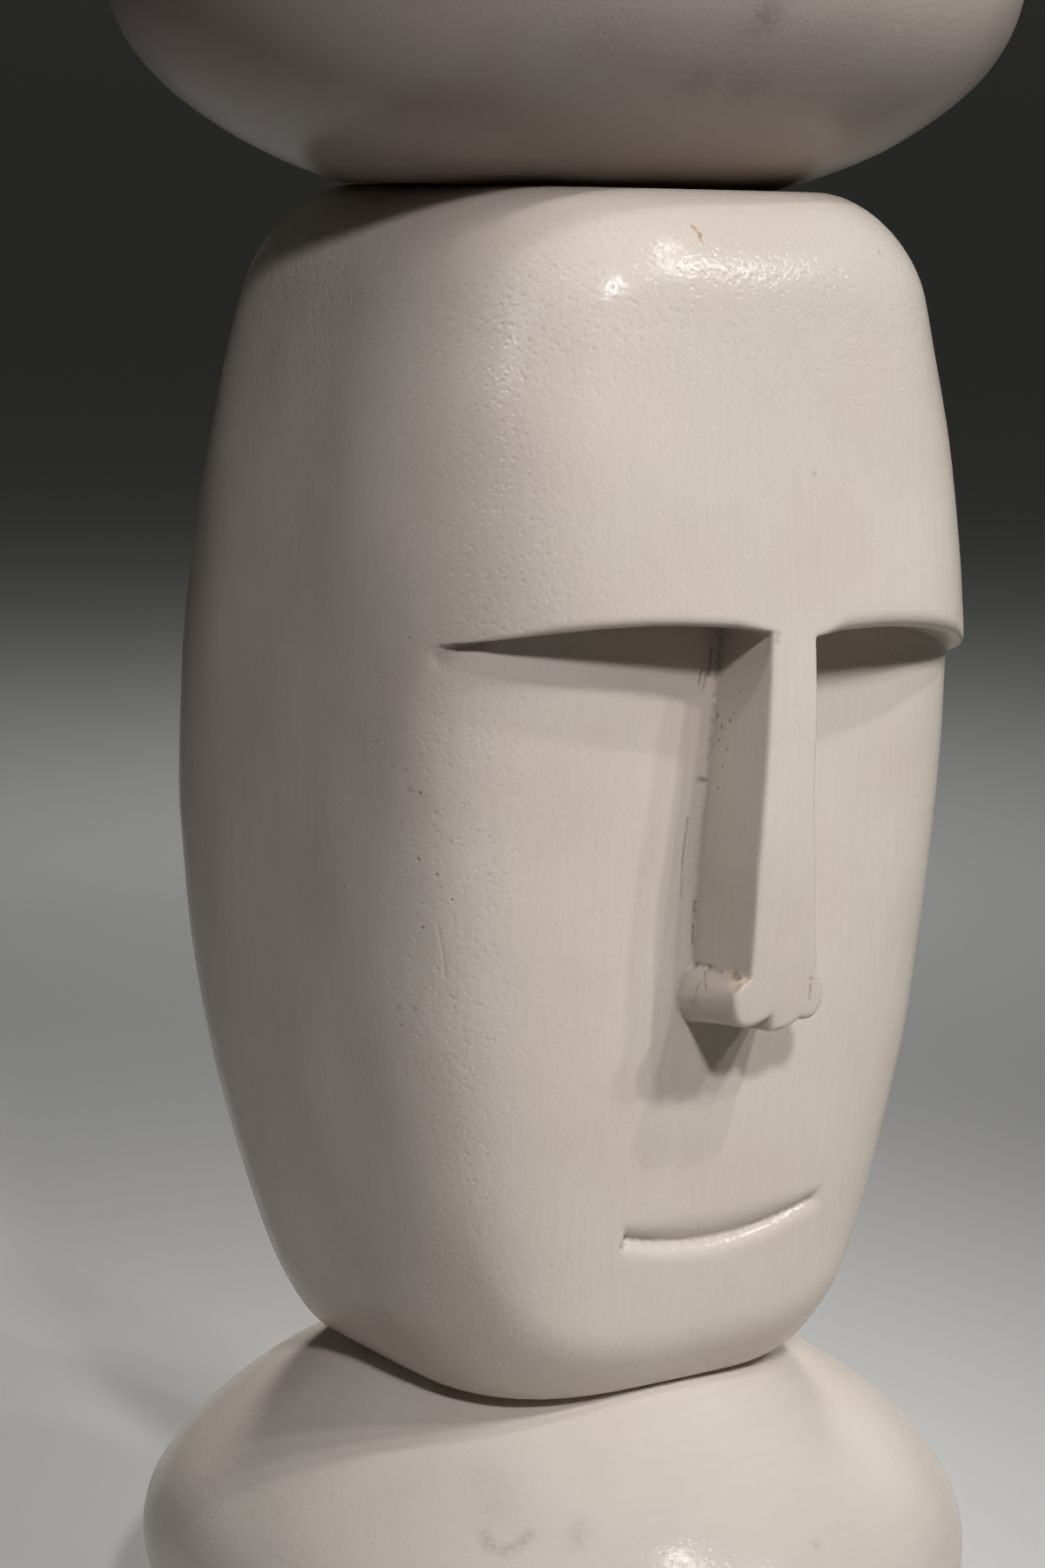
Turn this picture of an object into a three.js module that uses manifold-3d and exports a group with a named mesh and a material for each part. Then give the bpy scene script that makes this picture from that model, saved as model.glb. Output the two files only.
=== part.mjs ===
// Face sculpture: three carved and painted wooden forms, standing one on another.
// A low cushion form carries a tall head block, and a wide cushion form lies on the head.
// Millimetres, +Z up. The face looks towards -Y, and the origin is at floor height,
// below the middle of the whole stack.

import * as THREE from 'three';
import { mergeVertices } from 'three/addons/utils/BufferGeometryUtils.js';
import Module from 'manifold-3d';

const wasm = await Module();
wasm.setup();

// Driving dimensions of the whole stack
const seatGap = 0.3;

// Lower form: a cushion with a flat foot below and a flat seat on top.
// Rise and drop are how far its full curve would reach above and below the widest section,
// and the lean of its shoulder draws the upper curve in.
const lower = {
  halfWidth: 116.5,
  rise: 66.5,
  drop: 66,
  shoulderLean: 0.2,
  planSquareness: 2.05,
  footDrop: 38,
  seatRadius: 52.5,
  offsetX: 0.5,
  offsetY: -8,
};

// Upper form: a wider cushion with a flat seat below and a low dome on top
const upper = {
  halfWidth: 120,
  rise: 50,
  drop: 64,
  shoulderLean: 0,
  planSquareness: 2.2,
  seatRadius: 57,
  offsetX: -1.5,
  offsetY: 1.5,
};

// Head block: half sizes of its section at the widest height, and how much they narrow from there
const headHeight = 320;
const headWidestHeight = 163;
const headSide = { widest: 92, narrowsUp: 25, narrowsDown: 29 };
const headFront = { widest: 107, narrowsUp: 13, narrowsDown: 39 };
const headBack = { widest: 93, narrowsUp: 17, narrowsDown: 36 };
const headSquareness = 3.4;
const topRounding = { inset: 20, height: 28 };
const baseRounding = { inset: 6, height: 24 };

// Face: the plane of the cheeks, cut back from the front of the block below the brows
const cheekDepthAtBase = 74;
const cheekDepthAtBrow = 84;
const cheekSquarenessAtBase = 4;
const cheekSquarenessAtBrow = 5;
const cheekTopHeight = 197;

// Brows: each underside is an arch, with its peak out from the middle and falling away on both sides
const leftBrow = { peakOut: 45, peakHeight: 213.2, fallInward: 0.00215, fallOutward: 0.0043 };
const rightBrow = { peakOut: 30, peakHeight: 209.8, fallInward: 0.0028, fallOutward: 0.0045 };

// Nose: a post left standing between the cheeks, with curled wings at its foot.
// Widths are from the middle line. The left side swells halfway down, and the right side
// keeps a straight waist before it spreads.
const noseRootWidth = 7.3;
const noseSwellWidth = 10.4;
const noseWaistWidth = 7.5;
const noseFootWidthLeft = 10.1;
const noseFootWidthRight = 12.4;
const noseFootHeight = 122;
const noseWingWidth = 15;
const noseWingDrop = 15.5;
const noseSwellShare = 0.32;
const noseWaistShare = 0.57;

// Mouth: one curved groove, cut square at its ends
const mouthLeftEnd = -27;
const mouthRightEnd = 40;
const mouthMiddle = 1;
const mouthHeight = 43.3;
const mouthCurl = 0.005;
const mouthWidth = 5;
const mouthDepth = 2.8;

// How finely the forms are faceted
const headSides = 72;
const cushionSides = 60;
const headMiddleLevels = 14;
const topRoundingLevels = 7;
const baseRoundingLevels = 4;
const cushionLevels = 14;
const archSteps = 10;
const mouthSteps = 14;
const curveSteps = 4;

// Bites that a cutter takes past the surface that it cuts
const cutterMargin = 12;
const cutterStart = 20;

const quarterTurn = Math.PI / 2;

// Half size of the head's section at a height, before the roundings
function barrel(height, size) {
  const above = height > headWidestHeight;
  const span = above ? headHeight - headWidestHeight : headWidestHeight;
  const share = (height - headWidestHeight) / span;
  return size.widest - (above ? size.narrowsUp : size.narrowsDown) * share * share;
}

// How far the elliptic roundings at the top and the base bring the section in
function roundingInset(height) {
  const intoTop = Math.max(0, (height - headHeight) / topRounding.height + 1);
  const intoBase = Math.max(0, 1 - height / baseRounding.height);
  const top = topRounding.inset * (1 - Math.sqrt(Math.max(0, 1 - intoTop * intoTop)));
  const base = baseRounding.inset * (1 - Math.sqrt(Math.max(0, 1 - intoBase * intoBase)));
  return top + base;
}

// Distance from the axis to a squared oval, in one direction
function ovalRadius(angle, halfX, halfY, squareness) {
  const across = Math.abs(Math.cos(angle) / halfX) ** squareness;
  const along = Math.abs(Math.sin(angle) / halfY) ** squareness;
  return (across + along) ** (-1 / squareness);
}

function headRadius(angle, height) {
  const inset = roundingInset(height);
  const halfX = barrel(height, headSide) - inset;
  const halfY = barrel(height, Math.sin(angle) < 0 ? headFront : headBack) - inset;
  return ovalRadius(angle, halfX, halfY, headSquareness);
}

function cheekDepth(height) {
  const share = height / cheekTopHeight;
  return cheekDepthAtBase + (cheekDepthAtBrow - cheekDepthAtBase) * share - roundingInset(height);
}

function cheekSquareness(height) {
  const share = Math.min(1, height / cheekTopHeight);
  return cheekSquarenessAtBase + (cheekSquarenessAtBrow - cheekSquarenessAtBase) * share;
}

// The block that the cheeks bound: what the cut below the brows leaves standing
function cheekBlockRadius(angle, height) {
  const halfX = barrel(height, headSide) - roundingInset(height);
  return ovalRadius(angle, halfX, cheekDepth(height), cheekSquareness(height));
}

function cheekSurfaceY(x, height) {
  const halfX = barrel(height, headSide) - roundingInset(height);
  const squareness = cheekSquareness(height);
  const share = Math.min(1, Math.abs(x / halfX)) ** squareness;
  return -cheekDepth(height) * (1 - share) ** (1 / squareness);
}

function moveVertices(geometry, place) {
  const position = geometry.attributes.position;
  const point = new THREE.Vector3();
  for (let i = 0; i < position.count; i += 1) {
    point.fromBufferAttribute(position, i);
    place(point);
    position.setXYZ(i, point.x, point.y, point.z);
  }
  return geometry;
}

// A closed turned form whose round sections are then drawn out to their true outline.
// The rings are [radius, height] pairs from the bottom to the top.
function stackedForm(rings, sides, radiusAt) {
  const profile = [
    new THREE.Vector2(0, rings[0][1]),
    ...rings.map(([radius, height]) => new THREE.Vector2(radius, height)),
    new THREE.Vector2(0, rings.at(-1)[1]),
  ];
  const geometry = new THREE.LatheGeometry(profile, sides).rotateX(quarterTurn);
  return moveVertices(geometry, (point) => {
    const turned = Math.hypot(point.x, point.y);
    const angle = Math.atan2(point.y, point.x);
    const radius = turned > 0 ? radiusAt(angle, point.z, turned) : 0;
    point.x = radius * Math.cos(angle);
    point.y = radius * Math.sin(angle);
  });
}

function toSolid(geometry) {
  const bare = geometry.clone();
  bare.deleteAttribute('normal');
  bare.deleteAttribute('uv');
  const merged = mergeVertices(bare, 1e-4);
  const mesh = new wasm.Mesh({
    numProp: 3,
    vertProperties: new Float32Array(merged.attributes.position.array),
    triVerts: new Uint32Array(merged.index.array),
  });
  return new wasm.Manifold(mesh);
}

function toGeometry(solid) {
  const mesh = solid.getMesh();
  const geometry = new THREE.BufferGeometry();
  geometry.setAttribute('position', new THREE.BufferAttribute(mesh.vertProperties, 3));
  geometry.setIndex(new THREE.BufferAttribute(mesh.triVerts, 1));
  geometry.computeVertexNormals();
  return geometry;
}

// The head's sections as unit rings: close together in the roundings, even between them
function headRings() {
  const heights = [];
  for (let i = 0; i < baseRoundingLevels; i += 1) {
    heights.push(baseRounding.height * (1 - Math.cos((quarterTurn * i) / baseRoundingLevels)));
  }
  const middleTop = headHeight - topRounding.height;
  for (let i = 0; i < headMiddleLevels; i += 1) {
    heights.push(THREE.MathUtils.lerp(baseRounding.height, middleTop, i / headMiddleLevels));
  }
  for (let i = 0; i <= topRoundingLevels; i += 1) {
    heights.push(middleTop + topRounding.height * Math.sin((quarterTurn * i) / topRoundingLevels));
  }
  return heights.map((height) => [1, height]);
}

function browHeight(brow, out) {
  const fromPeak = out - brow.peakOut;
  return brow.peakHeight - (fromPeak < 0 ? brow.fallInward : brow.fallOutward) * fromPeak * fromPeak;
}

// The nose and its wings, from the root on the left, down round the foot, to the root on the right
function drawNose(shape) {
  const foot = noseFootHeight;
  const bottom = foot - noseWingDrop;
  const lobe = bottom + 2;
  const wing = noseWingWidth;
  const root = browHeight(rightBrow, noseRootWidth);
  const swell = THREE.MathUtils.lerp(foot, root, noseSwellShare);
  const waist = THREE.MathUtils.lerp(foot, root, noseWaistShare);
  shape.quadraticCurveTo(-(noseRootWidth + noseSwellWidth) / 2, waist, -noseSwellWidth, swell);
  shape.quadraticCurveTo(-noseSwellWidth, (swell + foot) / 2, -noseFootWidthLeft, foot);
  shape.quadraticCurveTo(-wing, foot - 3, -wing + 0.4, foot - 6.5);
  shape.quadraticCurveTo(-wing + 1.8, lobe, -wing + 6, lobe);
  shape.quadraticCurveTo(-wing + 10, lobe, -1.9, lobe + 2);
  shape.lineTo(-0.8, bottom);
  shape.quadraticCurveTo(4.5, bottom - 0.3, 8.3, lobe + 0.6);
  shape.quadraticCurveTo(wing - 1.2, lobe - 1.3, wing + 0.3, foot - 8.8);
  shape.quadraticCurveTo(wing + 0.8, foot - 4.5, noseFootWidthRight, foot);
  shape.quadraticCurveTo(noseWaistWidth + 1, swell, noseWaistWidth, waist);
  shape.lineTo(noseRootWidth, root);
}

// Front outline of everything that is cut back below the brows, with the nose left standing
function recessOutline() {
  const reach = headSide.widest + cutterMargin;
  const shape = new THREE.Shape();
  shape.moveTo(reach, -cutterMargin);
  shape.lineTo(-reach, -cutterMargin);
  for (let i = archSteps; i >= 0; i -= 1) {
    const out = THREE.MathUtils.lerp(noseRootWidth, reach, i / archSteps);
    shape.lineTo(-out, browHeight(leftBrow, out));
  }
  drawNose(shape);
  for (let i = 1; i <= archSteps; i += 1) {
    const out = THREE.MathUtils.lerp(noseRootWidth, reach, i / archSteps);
    shape.lineTo(out, browHeight(rightBrow, out));
  }
  return shape;
}

function recessCutter() {
  const depth = headFront.widest + cutterMargin - cutterStart;
  const prism = new THREE.ExtrudeGeometry(recessOutline(), {
    depth,
    bevelEnabled: false,
    curveSegments: curveSteps,
  });
  prism.rotateX(quarterTurn).translate(0, -cutterStart, 0);
  const cheekBlock = stackedForm(headRings(), headSides, cheekBlockRadius);
  return toSolid(prism).subtract(toSolid(cheekBlock));
}

// A groove with sloping sides that follows the surface of the cheeks
function mouthCutter() {
  const groove = new THREE.BoxGeometry(1, 1, 1, mouthSteps, 1, 1);
  moveVertices(groove, (point) => {
    const x = THREE.MathUtils.lerp(mouthLeftEnd, mouthRightEnd, point.x + 0.5);
    const middle = mouthHeight + mouthCurl * (x - mouthMiddle) ** 2;
    const outside = point.y < 0;
    const surface = cheekSurfaceY(x, middle);
    const halfWidth = outside ? (mouthWidth / 2) * (1 + cutterMargin / mouthDepth) : 0.4;
    point.set(x, surface + (outside ? -cutterMargin : mouthDepth), middle + 2 * point.z * halfWidth);
  });
  return toSolid(groove);
}

function headGeometry() {
  const block = toSolid(stackedForm(headRings(), headSides, headRadius));
  return toGeometry(block.subtract(recessCutter()).subtract(mouthCutter()));
}

// Radius and height on a cushion's curve, by its turn from the widest section to the axis
function cushionRing(cushion, turn) {
  const leaned = 1 - cushion.shoulderLean * Math.cos(turn) ** 2;
  const reach = turn > 0 ? cushion.rise * leaned : cushion.drop;
  return [cushion.halfWidth * Math.cos(turn), Math.sin(turn) * reach];
}

function cushionGeometry(cushion, fromTurn, toTurn) {
  const rings = [];
  for (let i = 0; i <= cushionLevels; i += 1) {
    rings.push(cushionRing(cushion, THREE.MathUtils.lerp(fromTurn, toTurn, i / cushionLevels)));
  }
  const outline = (angle, height, turned) => ovalRadius(angle, turned, turned, cushion.planSquareness);
  return toGeometry(toSolid(stackedForm(rings, cushionSides, outline)));
}

const lowerFootTurn = -Math.asin(lower.footDrop / lower.drop);
const lowerSeatTurn = Math.acos(lower.seatRadius / lower.halfWidth);
const upperSeatTurn = -Math.acos(upper.seatRadius / upper.halfWidth);

// Painted wood: the same cream enamel on all three forms
function enamel(color) {
  return new THREE.MeshStandardMaterial({ color, roughness: 0.42, metalness: 0 });
}

function form(name, geometry, color, x, y, z) {
  const mesh = new THREE.Mesh(geometry, enamel(color));
  mesh.name = name;
  mesh.position.set(x, y, z);
  return mesh;
}

const lowerSeatRise = cushionRing(lower, lowerSeatTurn)[1];
const upperSeatDrop = -cushionRing(upper, upperSeatTurn)[1];
const headBase = lower.footDrop + lowerSeatRise + seatGap;
const upperWidestHeight = headBase + headHeight + seatGap + upperSeatDrop;

const lowerGeometry = cushionGeometry(lower, lowerFootTurn, lowerSeatTurn);
const upperGeometry = cushionGeometry(upper, upperSeatTurn, quarterTurn);

const stack = new THREE.Group();
stack.add(form('lower_form', lowerGeometry, 0xcdc4b8, lower.offsetX, lower.offsetY, lower.footDrop));
stack.add(form('head', headGeometry(), 0xcfc6ba, 0, 0, headBase));
stack.add(form('upper_form', upperGeometry, 0xc8beb4, upper.offsetX, upper.offsetY, upperWidestHeight));

// The stack is shifted level so that the box round all three forms is centred on the origin
function boxMiddle(offset, headLow, headHigh) {
  const low = Math.min(lower[offset] - lower.halfWidth, upper[offset] - upper.halfWidth, headLow);
  const high = Math.max(lower[offset] + lower.halfWidth, upper[offset] + upper.halfWidth, headHigh);
  return (low + high) / 2;
}
stack.position.set(
  -boxMiddle('offsetX', -headSide.widest, headSide.widest),
  -boxMiddle('offsetY', -headFront.widest, headBack.widest),
  0,
);

export default stack;
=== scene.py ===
# %% [markdown]
# # A carved and painted face
#
# Three blocks of wood stand on one another: a low cushion form, a tall squared head with a
# schematic face cut into it, and a wider cushion form lying on top. All three were brushed with
# the same cream enamel, and the wood, the carving and the paint have aged together.
#
# The imported solids are the frame. They already have the right places, sizes and outlines, so
# the head's solid is copied, given a fine even mesh and drawn onto the smooth form that its
# facets stand for, and each cushion is spun anew in its solid's box. The solids themselves are
# never moved.

# %% Load the imported solids
import math

import bmesh
import bpy
import numpy as np
from mathutils import Matrix, Vector


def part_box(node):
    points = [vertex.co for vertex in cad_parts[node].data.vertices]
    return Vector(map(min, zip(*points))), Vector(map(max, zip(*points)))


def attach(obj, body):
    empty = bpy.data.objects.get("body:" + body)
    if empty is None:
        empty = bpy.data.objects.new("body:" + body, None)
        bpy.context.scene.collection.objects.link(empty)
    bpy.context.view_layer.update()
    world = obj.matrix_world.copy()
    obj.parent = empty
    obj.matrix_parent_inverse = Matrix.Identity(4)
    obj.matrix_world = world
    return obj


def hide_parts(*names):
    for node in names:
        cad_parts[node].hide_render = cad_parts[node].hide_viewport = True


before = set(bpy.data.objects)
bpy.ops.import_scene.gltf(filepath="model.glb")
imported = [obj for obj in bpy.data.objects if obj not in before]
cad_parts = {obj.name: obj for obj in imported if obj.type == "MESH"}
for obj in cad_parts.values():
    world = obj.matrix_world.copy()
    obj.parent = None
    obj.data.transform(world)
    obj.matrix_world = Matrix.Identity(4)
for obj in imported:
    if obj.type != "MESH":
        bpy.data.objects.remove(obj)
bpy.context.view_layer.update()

MM = 0.001
print("solids loaded:", sorted(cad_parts))

# %% [markdown]
# ## Where the head stands
#
# The head was carved round its own upright axis, so its carving is easiest to describe in
# millimetres from the middle of the head's base: x to the viewer's right, y into the block, z up.
# The face looks towards -y. The box of the head's solid says where that point is in the frame.

# %% Find the head's own axis
HEAD_FRONT = 107.0
head_low, head_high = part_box("head")
head_origin = Vector((
    (head_low.x + head_high.x) / 2,
    head_low.y + HEAD_FRONT * MM,
    head_low.z,
))
HEAD_HEIGHT = (head_high.z - head_low.z) / MM
print("head base at", [round(v / MM, 1) for v in head_origin], "mm, height", round(HEAD_HEIGHT, 1))

# %% [markdown]
# ## Camera
#
# The photograph was taken with a short telephoto lens, a little to the left of the face and
# level with the top of the head. The camera looks slightly down, leans a little, and its frame
# cuts off the outer parts of both cushion forms.

# %% Place the camera
PHOTO_WIDTH = 1200
PHOTO_HEIGHT = 1800
SENSOR_LONG_SIDE = 36.0
LENS = 78.97
CAMERA_AZIMUTH = math.radians(35.04)
CAMERA_DISTANCE = 950 * MM
CAMERA_ABOVE_HEAD_BASE = 314.2 * MM
HORIZON_ROW = 240
HEAD_AXIS_COLUMN = 634.7
CAMERA_LEAN = math.radians(1.19)

focal_pixels = LENS / SENSOR_LONG_SIDE * PHOTO_HEIGHT
pitch = math.atan2(PHOTO_HEIGHT / 2 - HORIZON_ROW, focal_pixels)
turn = math.atan2(PHOTO_WIDTH / 2 - HEAD_AXIS_COLUMN, focal_pixels)
ahead = Vector((math.sin(CAMERA_AZIMUTH + turn), math.cos(CAMERA_AZIMUTH + turn), 0))
right = Vector((ahead.y, -ahead.x, 0))
looking = ahead * math.cos(pitch) - Vector((0, 0, math.sin(pitch)))
up = ahead * math.sin(pitch) + Vector((0, 0, math.cos(pitch)))
leaned_right = right * math.cos(CAMERA_LEAN) + up * math.sin(CAMERA_LEAN)
leaned_up = up * math.cos(CAMERA_LEAN) - right * math.sin(CAMERA_LEAN)

camera_data = bpy.data.cameras.new("camera")
camera_data.lens = LENS
camera_data.sensor_width = SENSOR_LONG_SIDE
camera_data.clip_start = 0.05
camera = bpy.data.objects.new("camera", camera_data)
camera_place = head_origin + Vector((
    -CAMERA_DISTANCE * math.sin(CAMERA_AZIMUTH),
    -CAMERA_DISTANCE * math.cos(CAMERA_AZIMUTH),
    CAMERA_ABOVE_HEAD_BASE,
))
camera_axes = Matrix((leaned_right, leaned_up, -looking)).transposed()
camera.matrix_world = Matrix.Translation(camera_place) @ camera_axes.to_4x4()
bpy.context.scene.collection.objects.link(camera)
bpy.context.scene.camera = camera
print("camera at", [round(v, 3) for v in camera_place])

# %% [markdown]
# ## Colours and nodes
#
# Colours are noted as sRGB hex, the way a paint chart gives them, and turned to the linear
# values that shaders need by one function. Another small function adds a shader node with its
# settings and links, so that a material reads as a list of what it is made of.

# %% Two helpers for materials
def paint(hex_code):
    """The linear colour of an sRGB hex code, fully opaque."""
    values = [int(hex_code[i:i + 2], 16) / 255 for i in (1, 3, 5)]
    linear = [v / 12.92 if v <= 0.04045 else ((v + 0.055) / 1.055) ** 2.4 for v in values]
    return (*linear, 1.0)


def add_node(tree, kind, links=None, **settings):
    """Adds a node. Its sockets are called by name, by number or, on a Mix node, by identifier."""
    node = tree.nodes.new(kind)
    for name, value in settings.items():
        setattr(node, name, value)
    by_identifier = {socket.identifier: socket for socket in node.inputs}
    for name, value in (links or {}).items():
        socket = by_identifier.get(name) or node.inputs[name]
        if isinstance(value, bpy.types.NodeSocket):
            tree.links.new(value, socket)
        else:
            socket.default_value = value
    return node


def new_material(name):
    material = bpy.data.materials.new(name)
    material.use_nodes = True
    material.node_tree.nodes.clear()
    return material, material.node_tree


# %% [markdown]
# ## Floor and light
#
# The floor is plain, pale and matt. Small round lamps hang high about the object, and each
# shines in a cone that takes in little more than it. Key, right, middle and high hang in front
# and to the viewer's right, so that the left side of the head falls into shade, and the brows
# and the nose throw their layered shadows down and to the left. One from the left lights the
# nose's side wall, and two narrow, faint beams lift the tone of the forehead's left corner. A
# wide one behind shows the form from the back, and one more hangs over the floor behind.
#
# The sky is a dim dome, brighter overhead than at the horizon, where it has the tone of the far
# floor, so that no line shows where the floor ends.

# %% Lay the floor
FLOOR_SIZE = 40.0
floor_mesh = bpy.data.meshes.new("floor")
floor_shape = bmesh.new()
bmesh.ops.create_grid(floor_shape, x_segments=1, y_segments=1, size=FLOOR_SIZE / 2)
floor_shape.to_mesh(floor_mesh)
floor_shape.free()
floor = bpy.data.objects.new("floor", floor_mesh)
floor_material, tree = new_material("pale matt floor")
shader = add_node(tree, "ShaderNodeBsdfDiffuse", {"Color": paint("#bbbbb9")})
add_node(tree, "ShaderNodeOutputMaterial", {"Surface": shader.outputs["BSDF"]})
floor_mesh.materials.append(floor_material)
bpy.context.scene.collection.objects.link(floor)
print("floor is", FLOOR_SIZE, "m wide")

# %% Hang the lights
LIGHT_CENTRE = head_origin + Vector((0, 0, HEAD_HEIGHT / 2 * MM))
LIGHT_DISTANCE = 1.8
CHEEKS = (0.0, 0.0, 60.0)
FOREHEAD_CORNER = (-62.0, -86.0, 270.0)
FOREHEAD_TOP = (-57.0, -82.0, 298.0)
WIDE_BEAM = 34


def soft_box(name, azimuth, elevation, size, power, tint, aim=CHEEKS, spread=WIDE_BEAM):
    """Hangs a round lamp: angles in degrees, size in metres, power in W, aim in mm on the head."""
    a, e = math.radians(azimuth), math.radians(elevation)
    direction = Vector((math.sin(a) * math.cos(e), -math.cos(a) * math.cos(e), math.sin(e)))
    data = bpy.data.lights.new(name, "AREA")
    data.shape = "DISK"
    data.size = size
    data.spread = math.radians(spread)
    data.energy = power
    data.color = paint(tint)[:3]
    box = bpy.data.objects.new(name, data)
    box.location = LIGHT_CENTRE + direction * LIGHT_DISTANCE
    backwards = box.location - head_origin - Vector(aim) * MM
    box.rotation_euler = backwards.to_track_quat("Z", "Y").to_euler()
    bpy.context.scene.collection.objects.link(box)
    print(f"{name}: {power} W at azimuth {azimuth}, elevation {elevation}")


soft_box("key", azimuth=25, elevation=39, size=0.08, power=0.24, tint="#ffffff")
soft_box("right", azimuth=37, elevation=35, size=0.12, power=0.19, tint="#ffffff")
soft_box("middle", azimuth=13, elevation=43, size=0.08, power=0.16, tint="#ffffff")
soft_box("high", azimuth=22, elevation=54, size=0.07, power=0.21, tint="#ffffff")
soft_box("left", azimuth=-22, elevation=34, size=0.15, power=0.58, tint="#fbf9ff")
soft_box(
    "glint", azimuth=-85, elevation=26, size=0.05, power=0.004, tint="#ffffff",
    aim=FOREHEAD_CORNER, spread=5,
)
soft_box(
    "spot", azimuth=-62, elevation=46, size=0.04, power=0.002, tint="#ffffff",
    aim=FOREHEAD_TOP, spread=3,
)
soft_box("behind", azimuth=145, elevation=38, size=0.5, power=0.85, tint="#fdf8f4")

# %% Light the floor behind
FLOOR_LIGHT_AWAY, FLOOR_LIGHT_HEIGHT = 1.2, 1.2
FLOOR_LIGHT_SIZE = 0.5
FLOOR_LIGHT_POWER = 7
floor_light_data = bpy.data.lights.new("floor_light", "AREA")
floor_light_data.shape = "DISK"
floor_light_data.size = FLOOR_LIGHT_SIZE
floor_light_data.energy = FLOOR_LIGHT_POWER
floor_light = bpy.data.objects.new("floor_light", floor_light_data)
floor_light.location = (
    ahead.x * FLOOR_LIGHT_AWAY,
    ahead.y * FLOOR_LIGHT_AWAY,
    FLOOR_LIGHT_HEIGHT,
)
bpy.context.scene.collection.objects.link(floor_light)
print("floor lit from", [round(v, 2) for v in floor_light.location])

# %% Make the sky
SKY_HORIZON = "#262624"
SKY_OVERHEAD = "#3d3d3b"
world = bpy.data.worlds.new("dim dome")
world.use_nodes = True
tree = world.node_tree
tree.nodes.clear()
direction = add_node(tree, "ShaderNodeTexCoord")
parts = add_node(tree, "ShaderNodeSeparateXYZ", {"Vector": direction.outputs["Generated"]})
ramp = add_node(tree, "ShaderNodeValToRGB", {"Fac": parts.outputs["Z"]})
ramp.color_ramp.elements[0].position = 0.02
ramp.color_ramp.elements[0].color = paint(SKY_HORIZON)
ramp.color_ramp.elements[1].position = 0.9
ramp.color_ramp.elements[1].color = paint(SKY_OVERHEAD)
dome = add_node(tree, "ShaderNodeBackground", {"Color": ramp.outputs["Color"]})
add_node(tree, "ShaderNodeOutputWorld", {"Surface": dome.outputs["Background"]})
bpy.context.scene.world = world
bpy.context.scene.view_settings.view_transform = "Standard"
print("sky made")

# %% [markdown]
# ## The smooth form of the head
#
# The head is a squared oval that swells and narrows like a barrel, with a wide rounding at its
# top and a tight one at its base. Below the brows its front is cut back to the flatter plane of
# the cheeks, and a post is left standing in that cut for the nose.
#
# Such a form can be written as a function that says how far any point lies outside (+) or
# inside (-) the wood. Joining and cutting are then just a smallest and a largest value, and
# a soft version of those two gives every arris and every inner corner its own rounding. These
# are the same sizes as the solid's, so the drawn surface and the solid agree.

# %% Sizes of the head block
WIDEST_HEIGHT = 163.0
# Half size where it is widest, and how much it narrows to the top and to the base.
SIDE = (92.0, 25.0, 29.0)
FRONT = (HEAD_FRONT, 13.0, 39.0)
BACK = (93.0, 17.0, 36.0)
SQUARENESS = 3.4
TOP_INSET, TOP_ROUNDING = 20.0, 28.0
BASE_INSET, BASE_ROUNDING = 6.0, 24.0
REACH_ROUNDS = 4


def barrel(z, size):
    widest, narrows_up, narrows_down = size
    above = (z - WIDEST_HEIGHT) / (HEAD_HEIGHT - WIDEST_HEIGHT)
    below = (z - WIDEST_HEIGHT) / WIDEST_HEIGHT
    return widest - np.where(z > WIDEST_HEIGHT, narrows_up * above**2, narrows_down * below**2)


def oval_reach(x, y, half_x, half_y, squareness):
    """How much both half sizes of an oval have to grow for it to pass through (x, y), in mm."""
    grow = np.zeros_like(x)
    for _ in range(REACH_ROUNDS):
        a = np.maximum(half_x + grow, 1.0)
        b = np.maximum(half_y + grow, 1.0)
        across = (np.abs(x) / a) ** squareness
        along = (np.abs(y) / b) ** squareness
        total = across + along + 1e-9
        share = total ** (1 / squareness)
        slope = share / total * (across / a + along / b)
        grow = grow + (share - 1) / np.maximum(slope, 1e-4)
        grow = np.clip(grow, 1 - np.minimum(half_x, half_y), 60)
    return grow


def rounded_end(grown, inset, past_start, rounding):
    """A long surface that turns in towards a flat end over an elliptic corner."""
    out = np.maximum(grown + inset, 0) / inset
    over = np.maximum(past_start, 0) / rounding
    return (np.hypot(out, over) - 1) * inset


def block_form(x, y, z):
    half_y = np.where(y < 0, barrel(z, FRONT), barrel(z, BACK))
    grown = oval_reach(x, y, barrel(z, SIDE), half_y, SQUARENESS)
    top = rounded_end(grown, TOP_INSET, z - (HEAD_HEIGHT - TOP_ROUNDING), TOP_ROUNDING)
    base = rounded_end(grown, BASE_INSET, BASE_ROUNDING - z, BASE_ROUNDING)
    return np.where(z > HEAD_HEIGHT / 2, top, base)


# %% [markdown]
# ## Cheeks, brows, nose and mouth
#
# The two brows differ, as a carver's left and right do: the left arch peaks far out, the right
# one near the nose. The nose is an outline cut straight back, like fretwork, and its foot ends
# in two curled wings with a little lip between them. The mouth is one sweep of a V tool that
# follows the cheeks. The lower bank of its cut is steeper than the upper one.

# %% Sizes of the face
CHEEK_DEPTH_AT_BASE, CHEEK_DEPTH_AT_BROW = 74.0, 84.0
CHEEK_SQUARENESS_AT_BASE, CHEEK_SQUARENESS_AT_BROW = 4.0, 5.0
CHEEK_TOP = 197.0
# How far out the arch peaks, its height there, and how fast it falls inward and outward.
LEFT_BROW = (45.0, 213.2, 0.00215, 0.0043)
RIGHT_BROW = (30.0, 209.8, 0.0028, 0.0045)


def base_inset(z):
    share = np.clip(1 - z / BASE_ROUNDING, 0, 1)
    return BASE_INSET * (1 - np.sqrt(1 - share**2))


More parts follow.
